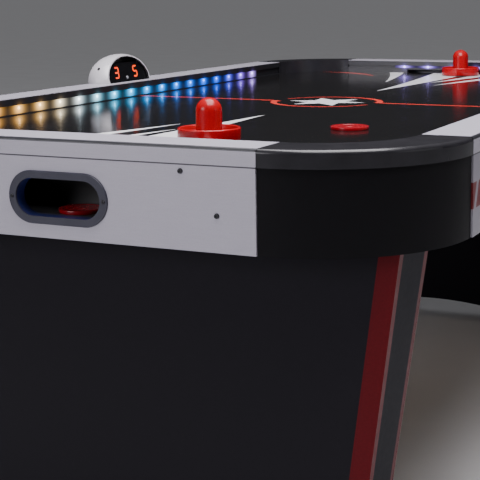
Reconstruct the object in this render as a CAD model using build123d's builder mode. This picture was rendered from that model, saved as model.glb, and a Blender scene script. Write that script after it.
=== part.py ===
from build123d import *
from math import cos, radians, sin, tan
import os

# Air hockey table for two players: a silver and black cabinet with rounded corners on two
# tapered box legs, an air-fed playing field with lit rails, a score unit and puck returns.
# Frame: origin on the floor under the middle, +X across the table, +Y along it, +Z up.
# Millimetres throughout.

os.makedirs("parts", exist_ok=True)

# ---- driving dimensions ---------------------------------------------------------------
table_length = 2286.0
table_width = 1232.0
rail_top = 813.0
rail_bottom = 784.0
cabinet_bottom = 649.0
field_top = 775.0
corner_radius = 260.0
rail_width = 87.0

half_length = table_length / 2
half_width = table_width / 2
straight_x = half_width - corner_radius  # half the straight run of an end
straight_y = half_length - corner_radius  # half the straight run of a side
rail_gap = 0.5  # between a rail and the corner cap
apron_gap = 1.2  # between an apron and the corner panel

# rails
lip = 1.2
liner = 10.0
edge_round = 5.0
side_groove = (777.0, 797.0)  # low and high edges of the recess for the lights
end_groove = (790.0, 798.0)
groove_depth = 5.0
strip_thick = 2.0
led_pitch = 80.0
led_radius = 3.6
side_led_z, end_led_z = 790.0, 794.0
cap_wall = 4.0
cap_round = 8.0

# cabinet
apron_thick = 18.0
corner_recess = 3.0
corner_thick = 15.0
field_thick = 6.0
field_tuck = 8.0  # how far the field runs under the liners
plenum_x, plenum_y, plenum_round = 590.0, 1030.0, 200.0
plenum_wall = 18.0
plenum_floor_top = 719.0
plenum_floor_thick = 6.0
joist_width = 40.0

# goals and puck returns
goal_half = 150.0
goal_height = 11.0
return_z = 716.0
bezel_width, bezel_height, bezel_thick = 190.0, 88.0, 3.0
return_width, return_height = 162.0, 62.8
sleeve_wall = 2.4
box_half, box_wall = 165.0, 3.0
box_floor, box_top = 682.0, 768.5
box_near, box_far = 18.5, 106.0  # distances in from the outer face

# legs
leg_y = 968.0
leg_bottom, leg_top = 20.0, cabinet_bottom
leg_low_x, leg_high_x = 462.0, 549.0
leg_low_y, leg_high_y = 62.0, 75.0
panel_thick = 18.0
arch_half, arch_crown = 330.0, 68.0
foot_x = 408.0
stem_radius = 5.0
running_gap = 0.05

# loose play pieces
mallet_radius, mallet_height, felt_thick = 58.0, 80.0, 1.5
handle_radius = 24.0
puck_radius, puck_thick = 38.0, 6.5
near_mallet_at = (100.0, -805.0)
far_mallet_at = (50.0, 985.0)
field_puck_at = (270.0, -538.0)
return_puck_at = (4.0, -1081.0)

# score unit, on the left rail
score_x, score_y = -582.0, -12.0  # the middle of its dome
score_long, score_round = 114.0, 71.0
score_wall = 3.0
score_front, score_back = -549.0, -613.0
score_lean = 13.0  # how far its front leans back, degrees
display_set_back = 8.0
display_top = 49.0
display_thick = 2.0
digit_height, digit_width, digit_bar = 31.0, 21.0, 4.4
digit_slant = 7.0
digit_up = 25.5
digit_apart = 45.0
digit_raise = 0.5
button_radius = 4.0

# blower
fan_radius, fan_wall = 104.0, 3.0
fan_bottom = 655.0
impeller_radius = 88.0
motor_radius = 34.0
shaft_radius = 4.0

# power inlet, on the left apron
power_y, power_z = 620.0, 706.0
power_plate = (34.0, 64.0, 2.5)
power_body = (28.0, 57.0, 20.0)
rocker_radius = 9.0
rocker_width = 14.0


def side_planes():
    """The four sides: name, plane (x inwards from the outer face, y up, z along the side), half run."""
    return {
        "front": (Plane((0, -half_length, 0), x_dir=(0, 1, 0), z_dir=(1, 0, 0)), straight_x),
        "back": (Plane((0, half_length, 0), x_dir=(0, -1, 0), z_dir=(-1, 0, 0)), straight_x),
        "right": (Plane((half_width, 0, 0), x_dir=(-1, 0, 0), z_dir=(0, 1, 0)), straight_y),
        "left": (Plane((-half_width, 0, 0), x_dir=(1, 0, 0), z_dir=(0, -1, 0)), straight_y),
    }


def face_plane(side, depth=0.0):
    """A plane on a side's outer face, seen from outside: x to the viewer's right, y up, z outwards."""
    outward, right = {
        "front": ((0, -1, 0), (1, 0, 0)),
        "back": ((0, 1, 0), (-1, 0, 0)),
        "right": ((1, 0, 0), (0, 1, 0)),
        "left": ((-1, 0, 0), (0, -1, 0)),
    }[side]
    reach = half_length if side in ("front", "back") else half_width
    origin = tuple(c * (reach - depth) for c in outward)
    return Plane(origin, x_dir=right, z_dir=outward)


corners = {"front_right": (1, -1), "front_left": (-1, -1), "back_right": (1, 1), "back_left": (-1, 1)}
ends = {"front": -1, "back": 1}


def save(shape, name):
    """Labels a finished piece and writes it to parts/."""
    shape.label = name
    export_step(shape, f"parts/{name}.step")


# ---- rails ------------------------------------------------------------------------------


def make_rail(side):
    """Silver rail board: a rebate for the edge trim outside and a lip over the liner inside."""
    plane, run = side_planes()[side]
    with BuildPart() as rail:
        with BuildSketch(plane):
            with BuildLine():
                Polyline(
                    (0, rail_bottom),
                    (0, rail_top - edge_round),
                    (edge_round, rail_top - edge_round),
                    (edge_round, rail_top),
                    (rail_width, rail_top),
                    (rail_width, rail_top - lip),
                    (rail_width - liner, rail_top - lip),
                    (rail_width - liner, rail_bottom),
                    close=True,
                )
            make_face()
        extrude(amount=run - rail_gap, both=True)
    save(rail.part, f"rail_{side}")


def make_edge_trims():
    """Quarter-round edging that fills the rebates along the tops of the four rails."""
    with BuildPart() as trims:
        for plane, run in side_planes().values():
            with BuildSketch(plane):
                with BuildLine():
                    Line((edge_round, rail_top - edge_round), (0, rail_top - edge_round))
                    CenterArc((edge_round, rail_top - edge_round), edge_round, 90, 90)
                    Line((edge_round, rail_top), (edge_round, rail_top - edge_round))
                make_face()
            extrude(amount=run - rail_gap, both=True)
    save(trims.part, "rail_edge_trims")


def make_liners(name, pair):
    """Black inner walls under two rails' lips, grooved for the lights; at an end, notched for the goal."""
    with BuildPart() as walls:
        for side in pair:
            plane, run = side_planes()[side]
            groove_low, groove_high = end_groove if side in ends else side_groove
            with BuildSketch(plane):
                with BuildLine():
                    Polyline(
                        (rail_width - liner, field_top),
                        (rail_width - liner, rail_top - lip),
                        (rail_width, rail_top - lip),
                        (rail_width, groove_high),
                        (rail_width - groove_depth, groove_high),
                        (rail_width - groove_depth, groove_low),
                        (rail_width, groove_low),
                        (rail_width, field_top),
                        close=True,
                    )
                make_face()
            extrude(amount=run - rail_gap, both=True)
            if side in ends:
                with BuildSketch(plane):
                    with Locations((rail_width - liner / 2, field_top + goal_height / 2)):
                        Rectangle(3 * liner, goal_height)
                extrude(amount=goal_half, both=True, mode=Mode.SUBTRACT)
    save(walls.part, f"rail_liners_{name}")


def led_places(side):
    """Where a side's lights sit along it."""
    count = 5 if side in ends else 18
    return [(i - (count - 1) / 2) * led_pitch for i in range(count)]


def make_led_strips():
    """Circuit strips glued to the backs of the grooves."""
    with BuildPart() as strips:
        for side, (plane, _) in side_planes().items():
            groove_low, groove_high = end_groove if side in ends else side_groove
            with BuildSketch(plane):
                centre = (rail_width - groove_depth + strip_thick / 2, (groove_low + groove_high) / 2)
                with Locations(centre):
                    Rectangle(strip_thick, groove_high - groove_low - 1)
            extrude(amount=led_places(side)[-1] + 0.4 * led_pitch, both=True)
    save(strips.part, "led_strips")


def make_led_lenses():
    """Small domed lenses, one for each light, standing on the strips."""
    depth = rail_width - groove_depth + strip_thick
    with BuildPart() as lenses:
        for side in side_planes():
            with BuildSketch(face_plane(side, depth)):
                with Locations(*[(x, end_led_z if side in ends else side_led_z) for x in led_places(side)]):
                    Circle(led_radius)
            extrude(amount=-strip_thick)
        fillet(lenses.edges().filter_by(GeomType.CIRCLE).filter_by(faces_away_from_wall), 1.2)
    save(lenses.part, "led_lenses")


def faces_away_from_wall(edge):
    """True for a lens rim at the end of the lens that faces the field."""
    reach = rail_width - groove_depth + 2 * strip_thick
    centre = edge.arc_center
    return abs(abs(centre.X) - (half_width - reach)) < 0.1 or abs(abs(centre.Y) - (half_length - reach)) < 0.1


def corner_plane(sx, sy):
    """A radial plane at a corner's centre, x outwards across the table, y up; and the axis to revolve about."""
    centre = (sx * straight_x, sy * straight_y, 0)
    plane = Plane(centre, x_dir=(sx, 0, 0), z_dir=(0, -sx, 0))
    return plane, Axis(centre, (0, 0, sx * sy))


def make_corner_cap(name, sx, sy):
    """Moulded cap over a corner: a hollow section with a rounded outer edge and an inner skirt to the field."""
    plane, axis = corner_plane(sx, sy)
    inner = corner_radius - rail_width
    with BuildPart() as cap:
        with BuildSketch(plane):
            with BuildLine():
                Line((corner_radius, rail_bottom), (corner_radius, rail_top - cap_round))
                CenterArc((corner_radius - cap_round, rail_top - cap_round), cap_round, 0, 90)
                Polyline(
                    (corner_radius - cap_round, rail_top),
                    (inner, rail_top),
                    (inner, field_top),
                    (inner + cap_wall, field_top),
                    (inner + cap_wall, rail_top - cap_wall),
                    (corner_radius - cap_round, rail_top - cap_wall),
                )
                CenterArc((corner_radius - cap_round, rail_top - cap_round), cap_round - cap_wall, 0, 90)
                Polyline(
                    (corner_radius - cap_wall, rail_top - cap_round),
                    (corner_radius - cap_wall, rail_bottom),
                    (corner_radius, rail_bottom),
                )
            make_face()
        revolve(axis=axis, revolution_arc=90)
    save(cap.part, f"corner_cap_{name}")


# ---- cabinet ----------------------------------------------------------------------------

bolt_places = {
    "front": [(227.0, 773.0), (289.0, 706.5), (-227.0, 773.0), (-289.0, 706.5)],
    "right": [(754.0, 773.0), (816.0, 706.5), (-754.0, 773.0), (-816.0, 706.5)],
}
bolt_places["back"] = bolt_places["front"]
bolt_places["left"] = bolt_places["right"]
bolt_radius, bolt_head_radius, bolt_head_thick = 3.0, 4.6, 2.5
bolt_clear = 0.25
nut_radius, nut_thick = 6.5, 5.0


def make_apron(side):
    """Silver apron panel below a rail, drilled for its bolts; an end has the puck return's hole."""
    run = straight_x if side in ends else straight_y
    with BuildPart() as apron:
        with BuildSketch(face_plane(side)):
            with Locations((0, (cabinet_bottom + rail_bottom) / 2)):
                Rectangle(2 * (run - apron_gap), rail_bottom - cabinet_bottom)
            with Locations(*bolt_places[side]):
                Circle(bolt_radius + bolt_clear, mode=Mode.SUBTRACT)
            if side in ends:
                with Locations((0, return_z)):
                    grow = 2 * sleeve_wall + 1
                    SlotOverall(return_width + grow, return_height + grow, mode=Mode.SUBTRACT)
            if side == "left":
                with Locations((-power_y, power_z)):
                    Rectangle(power_body[0] + 1, power_body[1] + 1, mode=Mode.SUBTRACT)
        extrude(amount=-apron_thick)
        if side == "left":
            with BuildSketch(face_plane(side)):
                with Locations((-power_y, power_z)):
                    RectangleRounded(power_plate[0] + 1, power_plate[1] + 1, 3.5)
            extrude(amount=-power_plate[2], mode=Mode.SUBTRACT)
    save(apron.part, f"apron_{side}")


def make_corner_panel(name, sx, sy):
    """Curved black panel between two aprons, set back a little under the cap."""
    plane, axis = corner_plane(sx, sy)
    outer = corner_radius - corner_recess
    with BuildPart() as panel:
        with BuildSketch(plane):
            with Locations((outer - corner_thick / 2, (cabinet_bottom + rail_bottom) / 2)):
                Rectangle(corner_thick, rail_bottom - cabinet_bottom)
        revolve(axis=axis, revolution_arc=90)
    save(panel.part, f"corner_panel_{name}")


def make_apron_bolts():
    """Button-head bolts through the aprons, each with a hexagon socket, and the nuts inside."""
    with BuildPart() as bolts:
        for side in side_planes():
            places = bolt_places[side]
            with BuildSketch(face_plane(side)):
                with Locations(*places):
                    Circle(bolt_head_radius)
            extrude(amount=bolt_head_thick, taper=18)
            with BuildSketch(face_plane(side)):
                with Locations(*places):
                    Circle(bolt_radius)
            extrude(amount=-(apron_thick + nut_thick + 2))
            with BuildSketch(face_plane(side, -bolt_head_thick)):
                with Locations(*places):
                    RegularPolygon(2.0, 6)
            extrude(amount=-1.6, mode=Mode.SUBTRACT)
    save(bolts.part, "apron_bolts")
    with BuildPart() as nuts:
        for side in side_planes():
            with BuildSketch(face_plane(side, apron_thick)):
                with Locations(*bolt_places[side]):
                    RegularPolygon(nut_radius, 6)
                    Circle(bolt_radius, mode=Mode.SUBTRACT)
            extrude(amount=-nut_thick)
    save(nuts.part, "apron_nuts")


def make_field():
    """Playing field board, with corners that follow the caps and a notch at each goal."""
    tuck = rail_width - field_tuck
    with BuildPart() as field:
        with BuildSketch(Plane.XY.offset(field_top - field_thick)):
            RectangleRounded(2 * (half_width - tuck), 2 * (half_length - tuck), corner_radius - tuck)
            with Locations((0, half_length - rail_width + field_tuck), (0, rail_width - field_tuck - half_length)):
                Rectangle(2 * goal_half, 2 * field_tuck, mode=Mode.SUBTRACT)
        extrude(amount=field_thick)
    save(field.part, "playfield")


def make_plenum():
    """Air chamber under the field: a rounded frame, and a floor with the blower's hole."""
    with BuildPart() as frame:
        with BuildSketch(Plane.XY.offset(plenum_floor_top)):
            RectangleRounded(2 * plenum_x, 2 * plenum_y, plenum_round)
            offset(amount=-plenum_wall, mode=Mode.SUBTRACT)
        extrude(amount=field_top - field_thick - plenum_floor_top)
    save(frame.part, "plenum_frame")
    with BuildPart() as floor:
        with BuildSketch(Plane.XY.offset(plenum_floor_top - plenum_floor_thick)):
            RectangleRounded(2 * plenum_x, 2 * plenum_y, plenum_round)
            Circle(fan_radius - 10, mode=Mode.SUBTRACT)
        extrude(amount=plenum_floor_thick)
    save(floor.part, "plenum_floor")


leg_bolt_x = (-400.0, -150.0, 150.0, 400.0)
leg_bolt_y = (leg_y - 45, leg_y + 45)
joist_rows = [(leg_bolt_y[1], 540.0), (leg_bolt_y[0], 586.0), (330.0, 597.0)]
foot_block_height = 40.0
leg_bolt_radius = 4.0
leg_board_thick = 18.0


def make_joists():
    """Cross beams under the plenum floor; the outer pairs carry the legs."""
    height = plenum_floor_top - plenum_floor_thick - cabinet_bottom
    with BuildPart() as joists:
        for y, half in joist_rows:
            for sign in (-1, 1):
                with BuildSketch(Plane.XY.offset(cabinet_bottom)):
                    with Locations((0, sign * y)):
                        Rectangle(2 * half, joist_width)
                extrude(amount=height)
        with BuildSketch(Plane.XY.offset(cabinet_bottom)):
            with Locations(*leg_bolt_places()):
                Circle(leg_bolt_radius + bolt_clear)
        extrude(amount=45, mode=Mode.SUBTRACT)
    save(joists.part, "cabinet_joists")


# ---- goals and puck returns -----------------------------------------------------------------


def make_goal_boxes():
    """Open-topped catch boxes behind the goals, each with a hole towards its puck return."""
    middle = ((box_near + box_far) / 2, (box_floor + box_top) / 2)
    with BuildPart() as boxes:
        for end in ends:
            plane, _ = side_planes()[end]
            with BuildSketch(plane):
                with Locations(middle):
                    Rectangle(box_far - box_near, box_top - box_floor)
            extrude(amount=box_half, both=True)
            with BuildSketch(plane):
                with Locations((middle[0], middle[1] + box_wall)):
                    Rectangle(box_far - box_near - 2 * box_wall, box_top - box_floor)
            extrude(amount=box_half - box_wall, both=True, mode=Mode.SUBTRACT)
            with BuildSketch(face_plane(end, box_near)):
                with Locations((0, return_z)):
                    grow = 2 * sleeve_wall + 1
                    SlotOverall(return_width + grow, return_height + grow)
            extrude(amount=-box_wall, mode=Mode.SUBTRACT)
    save(boxes.part, "goal_boxes")


def make_return_bezels():
    """Oval frames round the puck returns, each with a sleeve through its apron and two screw holes."""
    screw_x = (return_width + bezel_width) / 4
    with BuildPart() as bezels:
        for end in ends:
            with BuildSketch(face_plane(end)):
                with Locations((0, return_z)):
                    SlotOverall(bezel_width, bezel_height)
            extrude(amount=bezel_thick)
        outer_faces = bezels.faces().filter_by(Axis.Y).group_by(lambda face: abs(face.center().Y))[-1]
        chamfer(outer_faces.edges(), 1.2)
        for end in ends:
            with BuildSketch(face_plane(end)):
                with Locations((0, return_z)):
                    SlotOverall(return_width + 2 * sleeve_wall, return_height + 2 * sleeve_wall)
            extrude(amount=-(box_near + box_wall))
            with BuildSketch(face_plane(end, -bezel_thick)):
                with Locations((0, return_z)):
                    SlotOverall(return_width, return_height)
            extrude(amount=-(box_near + box_wall + bezel_thick), mode=Mode.SUBTRACT)
            with BuildSketch(face_plane(end, -bezel_thick)):
                with Locations((-screw_x, return_z), (screw_x, return_z)):
                    Circle(1.9)
            extrude(amount=-bezel_thick, mode=Mode.SUBTRACT)
    save(bezels.part, "return_bezels")


def make_bezel_screws():
    """Pan-head screws that hold the bezels to the aprons."""
    screw_x = (return_width + bezel_width) / 4
    with BuildPart() as screws:
        for end in ends:
            places = ((-screw_x, return_z), (screw_x, return_z))
            with BuildSketch(face_plane(end, -bezel_thick)):
                with Locations(*places):
                    Circle(3.4)
            extrude(amount=1.6, taper=20)
            with BuildSketch(face_plane(end, -bezel_thick)):
                with Locations(*places):
                    Circle(1.8)
            extrude(amount=-bezel_thick)
            with BuildSketch(face_plane(end, -bezel_thick - 1.6)):
                with Locations(*places):
                    Rectangle(3.4, 0.9)
                    Rectangle(0.9, 3.4)
            extrude(amount=-1.0, mode=Mode.SUBTRACT)
    save(screws.part, "bezel_screws")


# ---- legs ---------------------------------------------------------------------------------


def leg_block(y, shrink_x, shrink_y, low=leg_bottom, high=leg_top):
    """A tapered block: the leg's outer shape shrunk by a wall in X or Y (negative grows it)."""
    with BuildPart() as block:
        for z in (low, high):
            share = (z - leg_bottom) / (leg_top - leg_bottom)
            half_x = leg_low_x + (leg_high_x - leg_low_x) * share - shrink_x
            half_y = leg_low_y + (leg_high_y - leg_low_y) * share - shrink_y
            with BuildSketch(Plane.XY.offset(z)):
                with Locations((0, y)):
                    Rectangle(2 * half_x, 2 * half_y)
        loft()
    return block.part


def make_broad_panels():
    """The legs' broad panels with an arch between the feet: one outer panel an end, and both inner ones."""
    inner = []
    for end, sign in ends.items():
        whole = leg_block(sign * leg_y, 0, 0)
        middle = leg_block(sign * leg_y, -30, panel_thick)
        with BuildPart() as pair:
            add(whole)
            add(middle, mode=Mode.SUBTRACT)
            with BuildSketch(Plane.XZ.offset(-sign * leg_y)):
                with BuildLine():
                    ThreePointArc((-arch_half, leg_bottom), (0, arch_crown), (arch_half, leg_bottom))
                    Line((arch_half, leg_bottom), (-arch_half, leg_bottom))
                make_face()
            extrude(amount=2 * leg_high_y, both=True, mode=Mode.SUBTRACT)
        panels = pair.solids().sort_by(Axis.Y, reverse=end == "back")
        save(panels[0], f"leg_{end}_outer_panel")
        inner.append(panels[1])
    with BuildPart() as both:
        add(inner)
    save(both.part, "leg_inner_panels")


def make_leg_insides():
    """The legs' side panels, top boards and drilled foot blocks."""
    blocks = [leg_block(sign * leg_y, 0, panel_thick) for sign in ends.values()]
    cuts = [leg_block(sign * leg_y, panel_thick, -30) for sign in ends.values()]
    lids = [leg_block(sign * leg_y, panel_thick, panel_thick, leg_top - leg_board_thick) for sign in ends.values()]
    with BuildPart() as sides:
        add(blocks)
        add(cuts, mode=Mode.SUBTRACT)
    save(sides.part, "leg_side_panels")
    with BuildPart() as boards:
        add(lids)
        with BuildSketch(Plane.XY.offset(leg_top)):
            with Locations(*leg_bolt_places()):
                Circle(leg_bolt_radius + bolt_clear)
        extrude(amount=-leg_board_thick, mode=Mode.SUBTRACT)
    save(boards.part, "leg_top_boards")
    with BuildPart() as feet:
        with BuildSketch(Plane.XY.offset(leg_bottom)):
            with Locations(*[(sx * foot_x, sy * leg_y) for sx, sy in corners.values()]):
                Rectangle(70, 2 * (leg_low_y - panel_thick))
                Circle(stem_radius + running_gap, mode=Mode.SUBTRACT)
        extrude(amount=foot_block_height)
    save(feet.part, "leg_foot_blocks")


def leg_bolt_places():
    """Where the legs' bolts stand, in plan."""
    return [(x, sign * y) for x in leg_bolt_x for sign in (-1, 1) for y in leg_bolt_y]


def make_leg_bolts():
    """Hexagon bolts up through the legs' top boards into the joists."""
    places = leg_bolt_places()
    head_top = leg_top - leg_board_thick
    with BuildPart() as bolts:
        with BuildSketch(Plane.XY.offset(head_top)):
            with Locations(*places):
                RegularPolygon(7.5, 6)
        extrude(amount=-5.3)
        with BuildSketch(Plane.XY.offset(head_top)):
            with Locations(*places):
                Circle(leg_bolt_radius)
        extrude(amount=leg_board_thick + 42)
    save(bolts.part, "leg_bolts")


def make_leveler(name, sx, sy):
    """Screw foot: a rubber-edged pad, a hexagon to turn it by, and the stem in its block."""
    with BuildPart() as foot:
        with BuildSketch():
            with Locations((sx * foot_x, sy * leg_y)):
                Circle(28)
        extrude(amount=7)
        chamfer(foot.edges().group_by(Axis.Z)[-1], 2)
        with BuildSketch(Plane.XY.offset(7)):
            with Locations((sx * foot_x, sy * leg_y)):
                RegularPolygon(9.5, 6)
        extrude(amount=6)
        with BuildSketch(Plane.XY.offset(13)):
            with Locations((sx * foot_x, sy * leg_y)):
                Circle(stem_radius)
        extrude(amount=40)
    save(foot.part, f"leveler_{name}")


# ---- mallets and pucks ----------------------------------------------------------------------


def make_mallet(name, place):
    """Mallet: a dish with a raised rim and a domed handle, hollow below, on a felt pad."""
    x, y = place
    low = field_top + felt_thick
    top = field_top + mallet_height
    wall = 3.0
    rim_top, valley = low + 24, low + 13
    dome = top - handle_radius
    with BuildPart() as body:
        with BuildSketch(Plane((x, y, 0), x_dir=(1, 0, 0), z_dir=(0, -1, 0))):
            with BuildLine():
                Polyline(
                    (handle_radius - wall, low + 10),
                    (mallet_radius - 2 * wall, low + 8),
                    (mallet_radius - 2 * wall, low),
                    (mallet_radius - 1, low),
                    (mallet_radius, low + 3),
                    (mallet_radius, rim_top - 2),
                )
                ThreePointArc(
                    (mallet_radius, rim_top - 2), (mallet_radius - 2.5, rim_top), (mallet_radius - 5, rim_top - 2)
                )
                Polyline(
                    (mallet_radius - 5, rim_top - 2),
                    (mallet_radius - 8, valley + 2),
                    (mallet_radius - 12, valley),
                    (handle_radius + 4, valley),
                    (handle_radius, valley + 4),
                    (handle_radius, dome),
                )
                CenterArc((0, dome), handle_radius, 0, 90)
                Line((0, top), (0, top - wall))
                CenterArc((0, dome), handle_radius - wall, 0, 90)
                Line((handle_radius - wall, dome), (handle_radius - wall, low + 10))
            make_face()
        revolve(axis=Axis((x, y, 0), (0, 0, 1)))
    save(body.part, f"mallet_{name}")
    with BuildPart() as felt:
        with BuildSketch(Plane.XY.offset(field_top)):
            with Locations(place):
                Circle(mallet_radius - 2)
        extrude(amount=felt_thick)
    save(felt.part, f"mallet_{name}_felt")


def make_puck(name, place, height):
    """Puck: a flat disc with bevelled rims and a shallow recess in its top."""
    with BuildPart() as puck:
        with BuildSketch(Plane.XY.offset(height)):
            with Locations(place):
                Circle(puck_radius)
        extrude(amount=puck_thick)
        chamfer(puck.edges(), 0.8)
        with BuildSketch(Plane.XY.offset(height + puck_thick)):
            with Locations(place):
                Circle(puck_radius - 7)
        extrude(amount=-0.6, mode=Mode.SUBTRACT)
    save(puck.part, f"puck_{name}")


# ---- score unit -------------------------------------------------------------------------------


lean = radians(score_lean)
score_plane = Plane(
    (score_front, score_y, rail_top), x_dir=(0, 1, 0), z_dir=(cos(lean), 0, sin(lean))
)
display_plane = Plane(
    (score_front - display_set_back, score_y, rail_top), x_dir=(0, 1, 0), z_dir=(cos(lean), 0, sin(lean))
)
button_at = (0.0, 11.0)
screw_low, screw_seat, post_in = -2.0, 88.0, 68.0
screw_up = 36.5


def round_backed(plane, corner, reach, radius):
    """A long rectangle that starts at a corner and reaches both ways from it, its two back corners rounded."""
    with BuildSketch(plane) as outline:
        with Locations(corner):
            Rectangle(4 * score_round, 2 * reach, align=(Align.MIN, Align.CENTER))
        fillet(outline.vertices().group_by(Axis.X)[0], radius)
    return outline.sketch


def dome(shrink):
    """A half spheroid on the rail, cut off at its front and back and shrunk by a wall except at its front."""
    middle = (score_x, score_y, rail_top)
    back = score_back + shrink
    side_view = Plane((0, score_y, rail_top), x_dir=(1, 0, 0), z_dir=(0, -1, 0))
    with BuildPart() as solid:
        with BuildSketch(Plane(middle, x_dir=(0, 1, 0), z_dir=(1, 0, 0))):
            Ellipse(score_long - shrink, score_round - shrink)
            with Locations((0, -score_round)):
                Rectangle(3 * score_long, 2 * score_round, mode=Mode.SUBTRACT)
        revolve(axis=Axis(middle, (0, -1, 0)), revolution_arc=360)
        side = round_backed(side_view, (back, 0), score_round - shrink, 26 - shrink)
        extrude(side, amount=score_long, both=True, mode=Mode.INTERSECT)
        plan = round_backed(Plane.XY.offset(rail_top), (back, score_y), score_long - shrink, 16 - shrink)
        extrude(plan, amount=score_round, mode=Mode.INTERSECT)
        with BuildSketch(score_plane):
            Rectangle(4 * score_long, 6 * score_round)
        extrude(amount=2 * score_round, mode=Mode.SUBTRACT)
    return solid.part


def screw_bosses(outside):
    """Blocks inside the hood's ends for its screws, trimmed to its outside."""
    with BuildPart() as bosses:
        for sign in (-1, 1):
            with BuildSketch(screw_plane(sign, screw_seat - 6)):
                Circle(7)
            extrude(amount=score_long)
        add(outside, mode=Mode.INTERSECT)
    return bosses.part


def on_curved_rim(edge):
    """True for the curved edge round the score unit's front."""
    return edge.geom_type != GeomType.LINE and abs(score_plane.to_local_coords(edge @ 0.3).Z) < 0.01


def screw_plane(sign, along):
    """A plane across the score unit's long axis, facing one end, on the line of that end's screw."""
    centre = (score_x + screw_low, score_y + sign * along, rail_top + screw_up)
    return Plane(centre, x_dir=(1, 0, 0), z_dir=(0, sign, 0))


segments = {
    "a": (0, 2, 0),
    "b": (1, 1, 1),
    "c": (1, -1, 1),
    "d": (0, -2, 0),
    "e": (-1, -1, 1),
    "f": (-1, 1, 1),
    "g": (0, 0, 0),
}
digit_segments = {"3": "abcdg", "5": "acdfg"}


def make_score_unit():
    """Half-dome hood on the left rail, a dark display set into it, lit digits, a reset button and screws."""
    outside = dome(0)
    inside = dome(score_wall)
    room = dome(score_wall + 0.5)
    with BuildPart() as housing:
        add(outside)
        fillet(housing.edges().filter_by(on_curved_rim), 2.0)
        add(inside, mode=Mode.SUBTRACT)
        add(screw_bosses(outside))
        for sign in (-1, 1):
            with BuildSketch(screw_plane(sign, screw_seat)):
                Circle(4.2)
            extrude(amount=score_long, mode=Mode.SUBTRACT)
            with BuildSketch(screw_plane(sign, 0)):
                Circle(2.0)
            extrude(amount=score_long, mode=Mode.SUBTRACT)
    save(housing.part, "score_housing")
    front_x = score_front - display_set_back
    slope = tan(lean)
    thick_x = display_thick / cos(lean)
    with BuildPart() as display:
        with BuildSketch(Plane((0, score_y, 0), x_dir=(1, 0, 0), z_dir=(0, -1, 0))):
            with BuildLine():
                Polyline(
                    (front_x, rail_top),
                    (front_x - display_top * slope, rail_top + display_top),
                    (score_back, rail_top + display_top),
                    (score_back, rail_top + display_top - display_thick),
                    (front_x - (display_top - display_thick) * slope - thick_x, rail_top + display_top - display_thick),
                    (front_x - thick_x, rail_top),
                    close=True,
                )
            make_face()
        extrude(amount=score_long, both=True)
        add(room, mode=Mode.INTERSECT)
        with BuildSketch(display_plane):
            with Locations(button_at):
                Circle(button_radius + 0.3)
        extrude(amount=-3 * display_thick, mode=Mode.SUBTRACT)
    save(display.part, "score_display")
    with BuildPart() as base:
        with BuildSketch(Plane.XY.offset(rail_top)):
            with Locations(((score_back + front_x - thick_x - 1) / 2, score_y)):
                Rectangle(front_x - thick_x - 1 - score_back, 4 * score_long)
        extrude(amount=score_wall)
        for sign in (-1, 1):
            with BuildSketch(Plane.XY.offset(rail_top)):
                with Locations((score_x + screw_low, score_y + sign * (post_in + 6))):
                    Rectangle(12, 12)
            extrude(amount=screw_up + 6)
        add(room, mode=Mode.INTERSECT)
        for sign in (-1, 1):
            with BuildSketch(screw_plane(sign, 0)):
                Circle(2.0)
            extrude(amount=score_long, mode=Mode.SUBTRACT)
    save(base.part, "score_base")
    with BuildPart() as digits:
        for place, value in ((-digit_apart, "3"), (digit_apart, "5")):
            with BuildSketch(display_plane):
                for key in digit_segments[value]:
                    across, up, upright = segments[key]
                    rise = up * (digit_height - digit_bar) / 4
                    shift = across * (digit_width - digit_bar) / 2 + rise * tan(radians(digit_slant))
                    length = (digit_height - digit_bar) / 2 if upright else digit_width - digit_bar
                    with Locations((place + shift, digit_up + rise)):
                        SlotOverall(length - 1, digit_bar, rotation=90 - digit_slant if upright else 0)
            extrude(amount=digit_raise)
    save(digits.part, "score_digits")
    with BuildPart() as button:
        with BuildSketch(display_plane):
            with Locations(button_at):
                Circle(button_radius)
        extrude(amount=2.2)
        fillet(button.edges().sort_by(Axis.X)[-1], 0.6)
        with BuildSketch(display_plane):
            with Locations(button_at):
                Circle(button_radius)
        extrude(amount=-display_thick - 1)
    save(button.part, "score_reset_button")
    with BuildPart() as screws:
        for sign in (-1, 1):
            with BuildSketch(screw_plane(sign, screw_seat)):
                Circle(3.8)
            extrude(amount=2.5)
            with BuildSketch(screw_plane(sign, screw_seat)):
                Circle(1.8)
            extrude(amount=-(screw_seat - post_in - 2))
            with BuildSketch(screw_plane(sign, screw_seat + 2.5)):
                Rectangle(4, 1)
                Rectangle(1, 4)
            extrude(amount=-1.2, mode=Mode.SUBTRACT)
    save(screws.part, "score_screws")


# ---- blower -----------------------------------------------------------------------------------


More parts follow.
